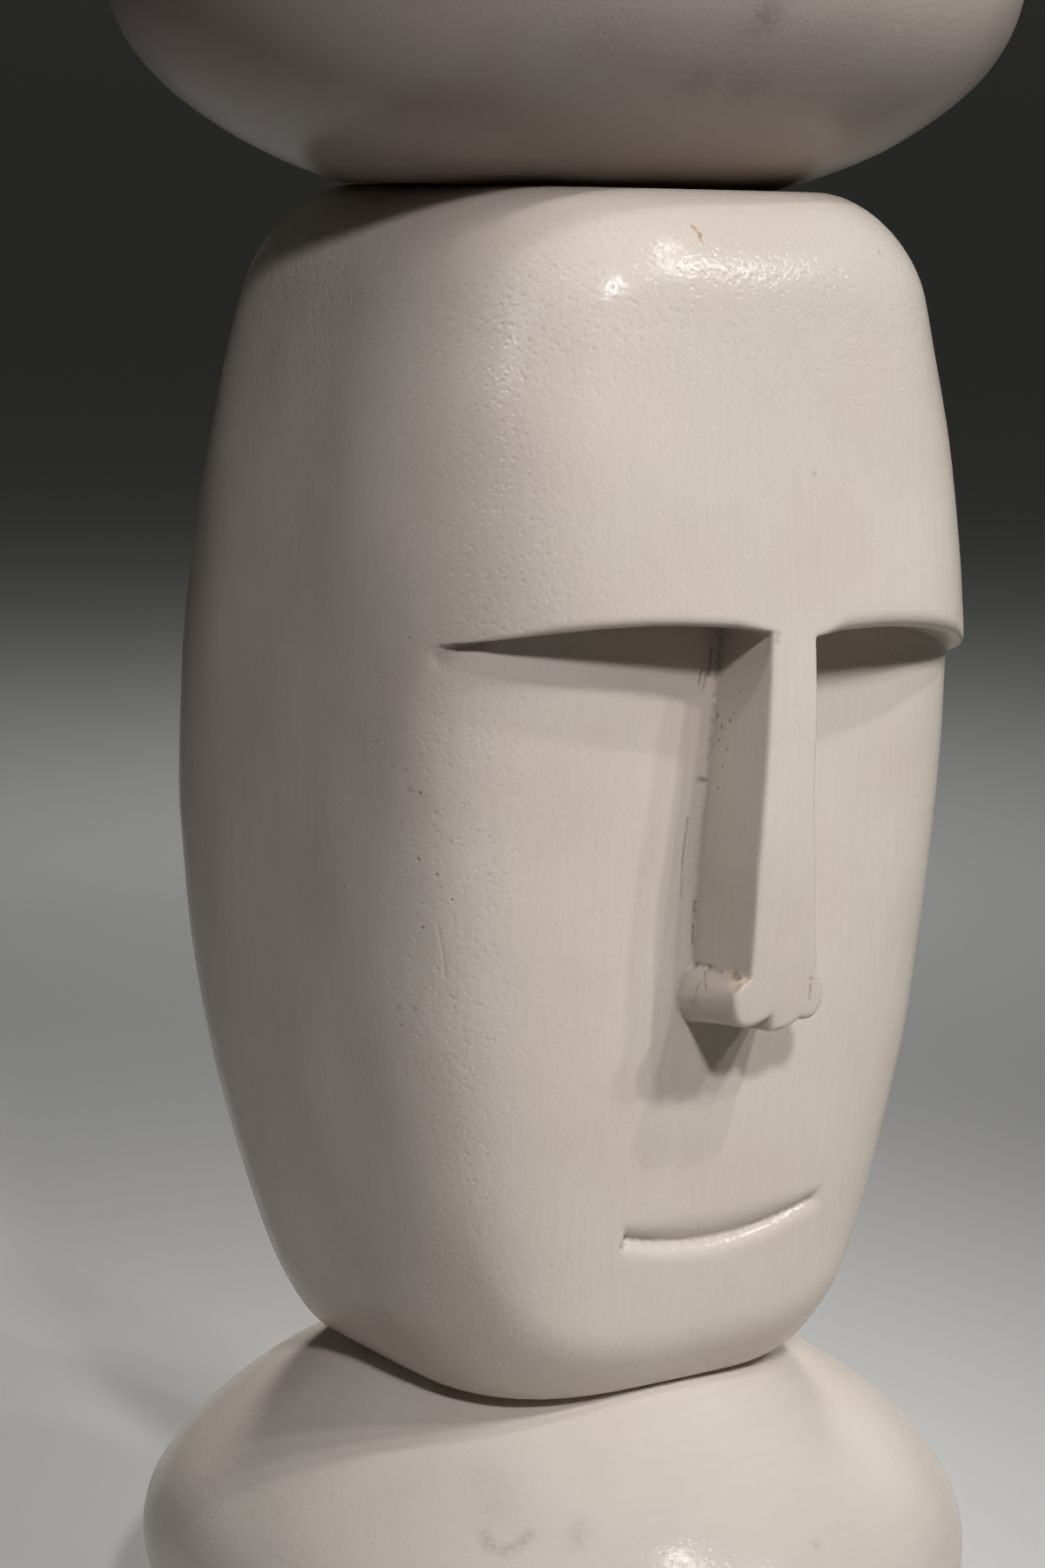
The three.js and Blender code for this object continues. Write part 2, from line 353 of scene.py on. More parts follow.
def cheek_form(x, y, z):
    share = np.clip(z / CHEEK_TOP, 0, 1.15)
    deeper = CHEEK_DEPTH_AT_BROW - CHEEK_DEPTH_AT_BASE
    depth = CHEEK_DEPTH_AT_BASE + deeper * share - base_inset(z)
    squarer = CHEEK_SQUARENESS_AT_BROW - CHEEK_SQUARENESS_AT_BASE
    squareness = CHEEK_SQUARENESS_AT_BASE + squarer * np.minimum(share, 1)
    return oval_reach(x, np.minimum(y, 0), barrel(z, SIDE) - base_inset(z), depth, squareness)


def brow_height(x):
    def arch(out, brow):
        peak_out, peak_height, inward, outward = brow
        gone = out - peak_out
        return peak_height - np.where(gone < 0, inward, outward) * gone**2
    return np.where(x < 0, arch(-x, LEFT_BROW), arch(x, RIGHT_BROW))


# %% Draw the nose's outline
NOSE_ROOT, NOSE_SWELL, NOSE_WAIST = 7.3, 10.4, 7.5
NOSE_FOOT_LEFT, NOSE_FOOT_RIGHT = 10.1, 12.4
NOSE_FOOT_HEIGHT = 122.0
WING_WIDTH, WING_DROP = 15.0, 15.5
SWELL_SHARE, WAIST_SHARE = 0.32, 0.57
OUTLINE_STEPS = 7


def curve_to(points, control, end):
    """Goes on from the last point in a curve that bends at the control point."""
    start, control, end = np.array(points[-1]), np.array(control), np.array(end)
    for t in np.linspace(0, 1, OUTLINE_STEPS + 1)[1:]:
        points.append(tuple((1 - t) ** 2 * start + 2 * t * (1 - t) * control + t * t * end))


def nose_outline():
    """The curls of the wings are drawn in mm from the foot and the wings' reach."""
    foot = NOSE_FOOT_HEIGHT
    bottom = foot - WING_DROP
    lobe = bottom + 2
    wing = WING_WIDTH
    root = float(brow_height(np.array(NOSE_ROOT)))
    swell = foot + (root - foot) * SWELL_SHARE
    waist = foot + (root - foot) * WAIST_SHARE
    points = [(-NOSE_ROOT, root + 20)]
    curve_to(points, (-NOSE_ROOT, root), (-NOSE_ROOT, root))
    curve_to(points, (-(NOSE_ROOT + NOSE_SWELL) / 2, waist), (-NOSE_SWELL, swell))
    curve_to(points, (-NOSE_SWELL, (swell + foot) / 2), (-NOSE_FOOT_LEFT, foot))
    curve_to(points, (-wing, foot - 3), (-wing + 0.4, foot - 6.5))
    curve_to(points, (-wing + 1.8, lobe), (-wing + 6, lobe))
    curve_to(points, (-wing + 10, lobe), (-1.9, lobe + 2))
    points.append((-0.8, bottom))
    curve_to(points, (4.5, bottom - 0.3), (8.3, lobe + 0.6))
    curve_to(points, (wing - 1.2, lobe - 1.3), (wing + 0.3, foot - 8.8))
    curve_to(points, (wing + 0.8, foot - 4.5), (NOSE_FOOT_RIGHT, foot))
    curve_to(points, (NOSE_WAIST + 1, swell), (NOSE_WAIST, waist))
    points.append((NOSE_ROOT, root))
    points.append((NOSE_ROOT, root + 20))
    return np.array(points)


NOSE_OUTLINE = nose_outline()
print("nose outline drawn with", len(NOSE_OUTLINE), "points")


def outline_distance(x, z, outline):
    """Distance to a closed outline, negative inside it."""
    nearest = np.full(x.shape, 1e9)
    inside = np.zeros(x.shape, bool)
    for (ax, az), (bx, bz) in zip(outline, np.roll(outline, -1, axis=0)):
        ex, ez = bx - ax, bz - az
        t = np.clip(((x - ax) * ex + (z - az) * ez) / (ex * ex + ez * ez), 0, 1)
        nearest = np.minimum(nearest, np.hypot(x - ax - t * ex, z - az - t * ez))
        if bz != az:
            crosses = (az > z) != (bz > z)
            inside ^= crosses & (x < ax + (z - az) * ex / ez)
    return np.where(inside, -nearest, nearest)


# %% Put the head's form together
NOSE_BOTTOM_SLOPE = 0.12
LEFT_BROW_ARRIS, RIGHT_BROW_ARRIS, NOSE_ARRIS, INNER_CORNER = 3.3, 5.0, 1.8, 0.8
SLOT_END = 86.0
MOUTH_LEFT, MOUTH_RIGHT, MOUTH_MIDDLE = -27.0, 38.5, 2.5
MOUTH_HEIGHT, MOUTH_CURL = 43.3, 0.005
MOUTH_DEPTH, MOUTH_UPPER_BANK, MOUTH_LOWER_BANK = 3.0, 5.0, 2.9
MOUTH_EDGE_ROUNDING = 2.0
BROW_LEAN = 0.97
NOSE_REACH, MOUTH_REACH = 30.0, 25
FAR_OUT = 50.0


def soft_most(a, b, rounding):
    """The larger of two values, with the corner between them rounded off."""
    overlap = np.maximum(rounding - np.abs(a - b), 0) / rounding
    return np.maximum(a, b) + overlap**2 * rounding / 4


def soft_least(a, b, rounding):
    return -soft_most(-a, -b, rounding)


def nose_form(x, y, z):
    set_back = np.clip(y + HEAD_FRONT, 0, 40)
    low = np.clip((NOSE_FOOT_HEIGHT + 4 - z) / 12, 0, 1)
    return outline_distance(x, z + NOSE_BOTTOM_SLOPE * set_back * low, NOSE_OUTLINE)


def above_mouth(x, z):
    return z - MOUTH_HEIGHT - MOUTH_CURL * (x - MOUTH_MIDDLE) ** 2


def mouth_form(x, z, depth):
    """A V groove whose banks swell in the middle and thin out to the right."""
    line = MOUTH_HEIGHT + MOUTH_CURL * (x - MOUTH_MIDDLE) ** 2
    across = (z - line) / np.sqrt(1 + (2 * MOUTH_CURL * (x - MOUTH_MIDDLE)) ** 2)
    along = np.clip((x - MOUTH_LEFT) / (MOUTH_RIGHT - MOUTH_LEFT), 0, 1)
    upper = MOUTH_UPPER_BANK * (0.45 + 2.6 * along * (1 - along) - 0.28 * along)
    lower = MOUTH_LOWER_BANK * (0.9 + 0.5 * along * (1 - along) - 0.25 * along**4)
    bank = np.where(across > 0, upper, lower + 0.22 * np.sin(x * 1.9) * np.sin(x * 0.83 + 1))
    deep = MOUTH_DEPTH * (1 - 0.45 * along**4)
    groove = (np.abs(across) - bank * (1 - depth / deep)) * deep / np.hypot(bank, deep)
    past_end = np.maximum(MOUTH_LEFT - x, (x - MOUTH_RIGHT) * 0.5)
    return soft_most(groove, past_end + depth * 0.5, 1.0)


def head_form(p):
    x, y, z = p[:, 0], p[:, 1], p[:, 2]
    block = block_form(x, y, z)
    cheek = cheek_form(x, y, z)
    brow = (brow_height(x) - z) * BROW_LEAN
    near_nose = np.abs(x) < NOSE_REACH
    nose = np.full(len(p), FAR_OUT)
    nose[near_nose] = nose_form(x[near_nose], y[near_nose], z[near_nose])
    kept = soft_least(soft_least(cheek, brow, INNER_CORNER), nose, INNER_CORNER)
    above_slot = np.clip((z - brow_height(x) + 9) / 6, 0, 1) * np.clip((np.abs(x) - 9) / 8, 0, 1)
    brow_arris = np.where(x < 0, LEFT_BROW_ARRIS, RIGHT_BROW_ARRIS)
    arris = NOSE_ARRIS + (brow_arris - NOSE_ARRIS) * above_slot
    arris = arris * np.clip((SLOT_END - np.abs(x)) / 22, 0.12, 1)
    face = soft_most(block, kept, arris)
    near_mouth = (np.abs(z - MOUTH_HEIGHT) < MOUTH_REACH) & (y < 0)
    mouth = np.full(len(p), FAR_OUT)
    mouth[near_mouth] = mouth_form(x[near_mouth], z[near_mouth], -cheek[near_mouth])
    return soft_most(face, -mouth, MOUTH_EDGE_ROUNDING)


# %% [markdown]
# ## From facets to an even mesh
#
# The solid's facets are long and uneven, which would show in a glossy coat. A voxel remesh
# gives a copy of it even quads. Then every point is drawn onto the smooth form by Newton's
# step: the distance to the form, divided by how fast that distance grows. Between the steps
# the points are relaxed towards their neighbours, so that they stay evenly spread.

# %% Helpers to copy, remesh and read a mesh
def copy_of_solid(name, piece_name):
    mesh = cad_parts[name].data.copy()
    mesh.name = piece_name
    mesh.materials.clear()
    shape = bmesh.new()
    shape.from_mesh(mesh)
    bmesh.ops.remove_doubles(shape, verts=shape.verts, dist=1e-6)
    shape.to_mesh(mesh)
    shape.free()
    piece = bpy.data.objects.new(piece_name, mesh)
    bpy.context.scene.collection.objects.link(piece)
    return piece


def remesh(piece, voxel):
    modifier = piece.modifiers.new("even quads", "REMESH")
    modifier.mode = "VOXEL"
    modifier.voxel_size = voxel
    modifier.adaptivity = 0
    ready = piece.evaluated_get(bpy.context.evaluated_depsgraph_get())
    even = bpy.data.meshes.new_from_object(ready)
    piece.modifiers.clear()
    piece.data = even
    piece.data.name = piece.name


def points_of(mesh):
    flat = np.empty(len(mesh.vertices) * 3)
    mesh.vertices.foreach_get("co", flat)
    return flat.reshape(-1, 3)


def edges_of(mesh):
    flat = np.empty(len(mesh.edges) * 2, int)
    mesh.edges.foreach_get("vertices", flat)
    return flat.reshape(-1, 2)


def set_points(mesh, points):
    mesh.vertices.foreach_set("co", np.asarray(points, np.float32).ravel())
    mesh.update()


def shade_smooth(mesh):
    for polygon in mesh.polygons:
        polygon.use_smooth = True


# %% Helpers to draw points onto a form
LONG_EDGE = 1.4


def slope_of(form, points, here, step=0.04):
    sides = []
    for axis in range(3):
        shift = np.zeros(3)
        shift[axis] = step
        sides.append((form(points + shift) - here) / step)
    return np.stack(sides, axis=1)


def draw_onto(form, points, rounds=2, longest=1.5):
    for _ in range(rounds):
        here = form(points)
        slope = slope_of(form, points, here)
        steepness = np.maximum((slope**2).sum(1), 0.15)
        move = -slope * (here / steepness)[:, None]
        length = np.linalg.norm(move, axis=1, keepdims=True)
        points = points + move * np.minimum(1, longest / np.maximum(length, 1e-9))
    return points


def relax(points, edges, strength=0.5):
    count = np.bincount(edges.ravel(), minlength=len(points))[:, None]
    total = np.zeros_like(points)
    for axis in range(3):
        total[:, axis] += np.bincount(edges[:, 0], points[edges[:, 1], axis], len(points))
        total[:, axis] += np.bincount(edges[:, 1], points[edges[:, 0], axis], len(points))
    return points + strength * (total / np.maximum(count, 1) - points)


def refine(mesh, spacing_at, to_mm):
    """Cuts every edge in two that is much longer than the detail round it asks for."""
    points = to_mm(points_of(mesh))
    ends = points[edges_of(mesh)]
    length = np.linalg.norm(ends[:, 0] - ends[:, 1], axis=1)
    long_edges = np.flatnonzero(length > LONG_EDGE * spacing_at(ends.mean(axis=1)))
    shape = bmesh.new()
    shape.from_mesh(mesh)
    shape.edges.ensure_lookup_table()
    chosen = [shape.edges[i] for i in long_edges]
    bmesh.ops.subdivide_edges(shape, edges=chosen, cuts=1, use_grid_fill=True)
    many_sided = [face for face in shape.faces if len(face.verts) > 4]
    bmesh.ops.triangulate(shape, faces=many_sided)
    shape.to_mesh(mesh)
    shape.free()
    return len(long_edges)


# %% [markdown]
# ## Marks of age
#
# The enamel and the wood below it have small marks: a hairline crack beside the nose, the joint
# line where the nose's wall meets the cheek, torn fibres under the brow, a brown nick on the
# forehead, pores and dents. Each is listed here as a path in millimetres on the head, with its
# half width, its depth, how much darker it is painted, which stands for dirt and for painted
# shade in its hollow, and how much bare wood shows in it. A path that lies on the front is given
# as (x, z) only, and the form itself says how deep y lies there.

# %% List the marks of the head
HEAD_MARKS = [
    # name, path, half width, depth, darkening (dirt and painted shade), bare wood
    ("crack beside the nose", [(-14.6, 160.0), (-15.2, 153.0), (-15.4, 147.5)], 0.3, 0.5, 0.6, 0.0),
    ("fine end of the crack", [(-15.4, 147.5), (-15.2, 139.0)], 0.3, 0.2, 0.3, 0.0),
    ("upper joint line", [(-8.0, 204.0), (-8.5, 196.0), (-9.0, 184.0), (-9.7, 172.0)],
     0.3, 0.2, 0.35, 0.0),
    ("lower joint line", [(-9.8, 169.5), (-10.2, 161.0), (-11.0, 147.0), (-10.9, 139.0)],
     0.3, 0.15, 0.25, 0.0),
    ("dark end of the joint line", [(-10.9, 139.0), (-10.9, 135.0), (-10.8, 126.0)],
     0.4, 0.3, 0.7, 0.0),
    ("notch at the joint", [(-11.4, 169.8), (-9.9, 169.3)], 1.0, 0.7, 0.5, 0.0),
    ("torn fibre, left", [(-13.6, 195.0), (-13.1, 199.0)], 0.35, 0.4, 0.5, 0.0),
    ("torn fibre, middle", [(-12.3, 193.0), (-11.4, 199.0)], 0.35, 0.5, 0.55, 0.0),
    ("torn fibre, right", [(-10.7, 197.0), (-10.2, 204.0)], 0.4, 0.5, 0.6, 0.0),
    ("nick in the forehead", [(-23.8, 310.8), (-22.7, 309.4), (-22.9, 307.2)], 0.7, 0.15, 0.0, 0.8),
    ("end of the left slot", [(-76.0, 208.3), (-79.8, 206.4), (-83.0, 203.9)], 2.4, 0.9, 0.25, 0.0),
    ("nick at the mouth", [(-25.6, 47.0), (-27.6, 45.6)], 0.9, 1.0, 0.7, 0.0),
    ("crack in the right wing", [(10.2, 117.5), (10.4, 113.5)], 0.3, 0.25, 0.3, 0.35),
    ("scratch on the corner", [(-81.2, -67.0, 135.8), (-80.2, -67.4, 130.0), (-79.1, -67.5, 122.7)],
     0.6, 0.10, 0.0, 0.0),
    ("split on the wing's roll", [(-13.4, -87.5, 119.0), (-14.6, -87.2, 114.0)], 0.3, 0.25, 0.4, 0.2),
    ("split at the wing's root", [(-13.8, -81.5, 118.5), (-14.8, -81.5, 115.0)], 0.3, 0.25, 0.4, 0.2),
    ("chipped ledge, front", [(-10.6, -104.0, 121.4), (-12.4, -103.6, 120.6), (-13.4, -102.8, 119.2)],
     1.3, 0.35, 0.12, 0.55),
    ("chipped ledge, middle", [(-10.6, -98.0, 121.5), (-11.2, -100.6, 121.2)], 1.1, 0.3, 0.2, 0.6),
    ("dark spot on the ledge, back", [(-10.3, -81.8, 120.9), (-10.6, -82.2, 120.8)],
     0.7, 0.4, 0.9, 0.0),
    ("dark spot on the ledge, middle", [(-10.3, -87.0, 121.3), (-10.9, -87.6, 120.9)],
     0.8, 0.4, 0.9, 0.0),
    ("split across the roll", [(-11.1, -86.5, 120.1), (-14.1, -90.9, 116.7)], 0.35, 0.3, 0.45, 0.2),
    ("speck on the right wing", [(10.0, -104.2, 119.4), (10.2, -104.2, 119.1)], 0.5, 0.2, 0.5, 0.0),
    ("nick at the nose's root", [(-5.6, -105.8, 210.1), (-6.2, -105.9, 207.5)], 0.9, 0.35, 0.25, 0.1),
    ("smear on the wing's roll", [(-14.2, -85.4, 111.4), (-14.4, -87.0, 112.4)], 1.6, 0.05, 0.22, 0.0),
    ("dirt on the ledge", [(-10.8, -82.8, 121.6), (-10.9, -93.0, 121.5)], 0.8, 0.15, 0.6, 0.25),
]
DENTS = [
    # place, half width
    ((-86.7, -61.6, 169.9), 1.0), ((-85.1, -64.5, 179.1), 0.8), ((-85.0, -55.2, 112.4), 1.1),
    ((-83.3, -59.5, 112.9), 1.1), ((-90.6, -37.3, 141.6), 0.9), ((-71.9, -75.1, 149.5), 0.7),
    ((-80.0, -70.2, 157.7), 0.8), ((-82.9, -67.5, 164.8), 0.9), ((-87.3, -60.5, 174.7), 0.8),
    ((-87.6, -58.8, 161.1), 0.8), ((-77.2, -68.3, 117.0), 0.7), ((-88.6, -55.9, 175.2), 0.7),
    ((-71.1, -75.0, 143.4), 0.6), ((-64.8, -83.5, 267.0), 0.6), ((-48.8, -91.8, 285.7), 0.5),
    ((6.3, -103.0, 249.6), 0.9), ((35.3, -91.0, 305.0), 0.8),
]
PORES = [
    # on the nose's left wall: y, z, half width
    (-85.0, 186.6, 0.6), (-87.0, 184.0, 0.5), (-86.4, 180.5, 0.5), (-90.4, 186.0, 0.6),
    (-90.2, 178.8, 0.5), (-84.6, 190.3, 0.5), (-91.6, 188.2, 0.5), (-88.8, 174.1, 0.5),
    (-87.7, 168.3, 0.5), (-93.7, 194.0, 0.6),
]
# Dents and pores are painted darker: dirt, and painted shade in each hollow.
DENT_DEPTH_SHARE, DENT_DARKENING = 0.25, 0.22
PORE_DEPTH, PORE_DARKENING = 0.4, 0.55
WALL_CHANGE, WALL_ABOVE, WALL_BELOW = 178, -8.4, -9.0


def front_point(x, z):
    """The place on the head's front that shows at (x, z)."""
    depths = np.linspace(-HEAD_FRONT - 3, -20, 900)
    line = np.stack([np.full_like(depths, x), depths, np.full_like(depths, z)], axis=1)
    return line[np.argmax(head_form(line) < 0)]


marks = []
for _, path, half_width, depth, darkening, bare in HEAD_MARKS:
    path = [np.array(place) if len(place) == 3 else front_point(*place) for place in path]
    marks.append((path, half_width, depth, darkening, bare))
for place, half_width in DENTS:
    marks.append(([np.array(place)] * 2, half_width, half_width * DENT_DEPTH_SHARE, DENT_DARKENING, 0.0))
for y, z, half_width in PORES:
    wall = (WALL_ABOVE if z > WALL_CHANGE else WALL_BELOW, y, z)
    marks.append(([np.array(wall)] * 2, half_width, PORE_DEPTH, PORE_DARKENING, 0.0))
print(len(marks), "marks on the head")


# %% Helpers for marks and hand-made unevenness
def distance_to_path(points, path):
    nearest = np.full(len(points), 1e9)
    for a, b in zip(path, path[1:]):
        way = b - a
        along = np.clip((points - a) @ way / max(way @ way, 1e-9), 0, 1)
        nearest = np.minimum(nearest, np.linalg.norm(points - a - along[:, None] * way, axis=1))
    return nearest


def gentle_waves(points, wavelength, seed):
    """Smooth random heights, mostly between -1 and 1, with a wavelength in mm."""
    draw = np.random.default_rng(seed)
    total = np.zeros(len(points))
    for _ in range(12):
        direction = draw.normal(size=3)
        direction *= 2 * math.pi / wavelength / draw.uniform(0.7, 1.5) / np.linalg.norm(direction)
        total += np.sin(points @ direction + draw.uniform(0, 2 * math.pi))
    return total / 3.4


def add_attribute(mesh, name, values):
    attribute = mesh.attributes.new(name, "FLOAT", "POINT")
    attribute.data.foreach_set("value", np.asarray(values, np.float32))


# %% Say how fine the head's mesh has to be
HEAD_VOXEL = 2.6
OPEN_SPACING, NEAR_SPACING, EDGE_SPACING = 9.0, 1.3, 0.65
MOUTH_NEAR_SPACING, MOUTH_SPACING = 1.2, 0.5
MARK_SPACING_SHARE, FINEST_SPACING = 0.6, 0.3


def to_head(points):
    return (points - np.array(head_origin)) / MM


def from_head(points):
    return points * MM + np.array(head_origin)


def head_spacing(points):
    """The wanted distance between points, in mm."""
    x, y, z = points.T
    spacing = np.full(len(points), OPEN_SPACING)
    front = y < -30
    brow = np.abs(z - brow_height(x))
    spacing[front & (brow < 8)] = NEAR_SPACING
    spacing[front & (brow < 4)] = EDGE_SPACING
    near = front & (np.abs(x) < NOSE_REACH) & (z < 222) & (z > 95)
    nose = np.full(len(points), 99.0)
    nose[near] = np.abs(nose_form(x[near], y[near], z[near]))
    spacing[nose < 7] = np.minimum(spacing[nose < 7], NEAR_SPACING)
    spacing[nose < 2.6] = EDGE_SPACING
    line = np.abs(above_mouth(x, z))
    in_reach = front & (x > MOUTH_LEFT - 4) & (x < MOUTH_RIGHT + 4)
    spacing[in_reach & (line < 7)] = MOUTH_NEAR_SPACING
    spacing[in_reach & (line < 4)] = MOUTH_SPACING
    for path, half_width, *_ in marks:
        middle = np.mean(path, axis=0)
        reach = half_width + 1.2
        radius = max(np.linalg.norm(place - middle) for place in path) + reach
        close = np.flatnonzero(((points - middle) ** 2).sum(1) < radius**2)
        close = close[distance_to_path(points[close], path) < reach]
        wanted = max(half_width * MARK_SPACING_SHARE, FINEST_SPACING)
        spacing[close] = np.minimum(spacing[close], wanted)
    return spacing


# %% Give the head its fine mesh
def settle(mesh, rounds, only_near=None):
    points = to_head(points_of(mesh))
    edges = edges_of(mesh)
    chosen = np.ones(len(points), bool) if only_near is None else head_spacing(points) < only_near
    for _ in range(rounds):
        relaxed = relax(points, edges)
        points[chosen] = draw_onto(head_form, relaxed[chosen])
    points[chosen] = draw_onto(head_form, points[chosen])
    set_points(mesh, from_head(points))


head = copy_of_solid("head", "head_carving")
remesh(head, HEAD_VOXEL * MM)
settle(head.data, rounds=4)
for _ in range(3):
    cut = refine(head.data, head_spacing, to_head)
    settle(head.data, rounds=2, only_near=2.0)
    print("cut", cut, "edges, now", len(head.data.vertices), "points")
shade_smooth(head.data)
triangles = sum(len(polygon.vertices) - 2 for polygon in head.data.polygons)
print("head has", triangles, "triangles")

# %% [markdown]
# ## Marks, dirt and painted shade of the head
#
# The marks are sunk into the fine mesh, and long soft waves of a quarter of a millimetre give
# the faces the unevenness of hand work. The inner corners under the brows and beside the nose,
# and the mouth's groove, are painted darker as painted shade, and the marks are painted darker
# for dirt and for the shade in their hollows. Four numbers on every point tell the enamel about
# it: grime_and_shade says where dirt and painted shade darken the coat, bare_wood where wood
# shows, pitted where the left corner's pits are widest, and pebbled where the orange-peel is
# strongest, which is below the top of the forehead and down its left corner.

# %% Sink the marks
WAVE_HEIGHT, WAVE_LENGTH = 0.25, 46
RIPPLE_HEIGHT, RIPPLE_LENGTH = 0.035, 13
END_FADE = 30
# How dark and how wide the painted shade is in the inner corners, under the brows and in the mouth.
CORNER_SHADE, CEILING_SHARE, MOUTH_SHADE = 0.55, 0.8, 0.45
WALL_SHADE_WIDTH, CEILING_SHADE_WIDTH, MOUTH_SHADE_WIDTH = 0.7, 1.2, 0.7

points = to_head(points_of(head.data))
here = head_form(points)
slope = slope_of(head_form, points, here)
outward = slope / np.maximum(np.linalg.norm(slope, axis=1, keepdims=True), 1e-6)
x, y, z = points.T
from_ends = np.clip(np.minimum(z, HEAD_HEIGHT - z) / END_FADE, 0, 1)
height = WAVE_HEIGHT * from_ends * gentle_waves(points, WAVE_LENGTH, seed=3)
height += RIPPLE_HEIGHT * from_ends * gentle_waves(points, RIPPLE_LENGTH, seed=4)

grime_and_shade = np.zeros(len(points))
bare = np.zeros(len(points))
front = y < -60
near = front & (np.abs(x) < NOSE_REACH) & (z < 222) & (z > 100)
wall_gap = np.full(len(points), 9.0)
wall_gap[near] = np.abs(nose_form(x[near], y[near], z[near]))
cheek = cheek_form(x, y, z)
cheek_gap = np.abs(cheek)
ceiling_gap = np.abs(brow_height(x) - z)
# Painted shade: the corners where the nose's wall and the brows meet the cheeks are painted darker.
corner_shade = np.exp(-(wall_gap + cheek_gap) / WALL_SHADE_WIDTH)
corner_shade = corner_shade + CEILING_SHARE * np.exp(-(ceiling_gap + cheek_gap) / CEILING_SHADE_WIDTH)
grime_and_shade += CORNER_SHADE * np.where(front, corner_shade, 0) * np.clip((78 - np.abs(x)) / 12, 0, 1)
# Painted shade: the mouth's groove is painted darker towards its bottom line.
line = np.abs(above_mouth(x, z))
in_mouth = front & (cheek < -1.0) & (line < 5) & (z < 80)
grime_and_shade[in_mouth] += MOUTH_SHADE * np.exp(-line[in_mouth] / MOUTH_SHADE_WIDTH)
# Each mark is sunk and painted darker, for dirt and for painted shade in its hollow.
for path, half_width, depth, darkening, bare_share in marks:
    gap = distance_to_path(points, path)
    share = np.clip(1 - gap / (half_width + 0.1), 0, 1)
    bowl = share * share * (3 - 2 * share)
    height -= depth * bowl
    grime_and_shade = np.maximum(grime_and_shade, darkening * np.sqrt(share))
    bare = np.maximum(bare, bare_share * np.clip(share * 2.2, 0, 1))
set_points(head.data, from_head(points + outward * height[:, None]))
add_attribute(head.data, "grime_and_shade", np.clip(grime_and_shade, 0, 1))
add_attribute(head.data, "bare_wood", np.clip(bare, 0, 1))
along_corner = np.exp(-(((x + 84) / 9) ** 2) - ((y + 62) / 14) ** 2)
along_corner = along_corner * np.exp(-(((z - 150) / 60) ** 2))
add_attribute(head.data, "pitted", np.clip(0.18 + along_corner, 0, 1))
under_top = np.exp(-(((z - 294) / 24) ** 2))
left_corner = np.exp(-(((x + 74) / 14) ** 2)) * np.clip(-y / 40, 0, 1)
add_attribute(head.data, "pebbled", 0.35 + 0.65 * np.maximum(under_top, 0.6 * left_corner))
print("deepest mark", round(-float(height.min()), 2), "mm")

# %% [markdown]
# ## The cushion forms
#
# The two cushions were turned by eye, so they are almost round. Each starts as one curve from
# the flat where it rests to the other end, which is spun round the axis, and is then drawn out
# to a slightly squared oval and given the same hand-made unevenness as the head.

# %% Sizes of the cushion forms
LOWER = dict(half=116.5, rise=66.5, drop=66.0, lean=0.2, squareness=2.05)
UPPER = dict(half=120.0, rise=50.0, drop=64.0, lean=0.0, squareness=2.2)
LOWER_FOOT_DROP = 38.0
LOWER_SEAT_RADIUS, UPPER_SEAT_RADIUS = 52.5, 57.0
SPIN_STEPS = 216
CURVE_STEPS = 64
FLAT_RINGS = 5


def cushion_curve(cushion, from_turn, to_turn):
    curve = []
    for turn in np.linspace(from_turn, to_turn, CURVE_STEPS + 1):
        leaned = 1 - cushion["lean"] * math.cos(turn) ** 2
        reach = cushion["rise"] * leaned if turn > 0 else cushion["drop"]
        curve.append(Vector((cushion["half"] * math.cos(turn), 0, math.sin(turn) * reach)))
    return curve


def flat_rings(rim):
    """Points from the middle of a flat end to its rim."""
    return [Vector((rim.x * step / FLAT_RINGS, 0, rim.z)) for step in range(FLAT_RINGS)]


def spin_cushion(name, cushion, from_turn, to_turn, box):
    curve = cushion_curve(cushion, from_turn, to_turn)
    curve = flat_rings(curve[0]) + curve
    if curve[-1].x > 1:
        curve += flat_rings(curve[-1])[::-1]
    shape = bmesh.new()
    verts = [shape.verts.new(point) for point in curve]
    edges = [shape.edges.new(pair) for pair in zip(verts, verts[1:])]
    bmesh.ops.spin(
        shape, geom=verts + edges, cent=(0, 0, 0), axis=(0, 0, 1), angle=2 * math.pi,
        steps=SPIN_STEPS, use_merge=True, use_duplicate=False,
    )
    bmesh.ops.remove_doubles(shape, verts=shape.verts, dist=1e-3)
    bmesh.ops.recalc_face_normals(shape, faces=shape.faces)
    mesh = bpy.data.meshes.new(name)
    shape.to_mesh(mesh)
    shape.free()
    points = points_of(mesh)
    angle = np.arctan2(points[:, 1], points[:, 0])
    n = cushion["squareness"]
    squared = (np.abs(np.cos(angle)) ** n + np.abs(np.sin(angle)) ** n) ** (-1 / n)
    points[:, :2] *= squared[:, None]
    points[:, 2] -= points[:, 2].min()
    low, high = box
    middle = np.array([(low.x + high.x) / 2, (low.y + high.y) / 2, low.z])
    set_points(mesh, points * MM + middle)
    piece = bpy.data.objects.new(name, mesh)
    bpy.context.scene.collection.objects.link(piece)
    return piece


lower = spin_cushion(
    "lower_cushion", LOWER, -math.asin(LOWER_FOOT_DROP / LOWER["drop"]),
    math.acos(LOWER_SEAT_RADIUS / LOWER["half"]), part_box("lower_form"),
)
upper = spin_cushion(
    "upper_cushion", UPPER, -math.acos(UPPER_SEAT_RADIUS / UPPER["half"]),
    math.pi / 2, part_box("upper_form"),
)
print("cushions have", len(lower.data.polygons), "and", len(upper.data.polygons), "faces")

# %% [markdown]
# ## Smudges of the cushions
#
# The lower cushion has a faint bow-shaped smudge and a few soft grey ones near its front, and
# the upper one has three round grey touches. They lie in the paint, so they change its colour
# and not its shape.

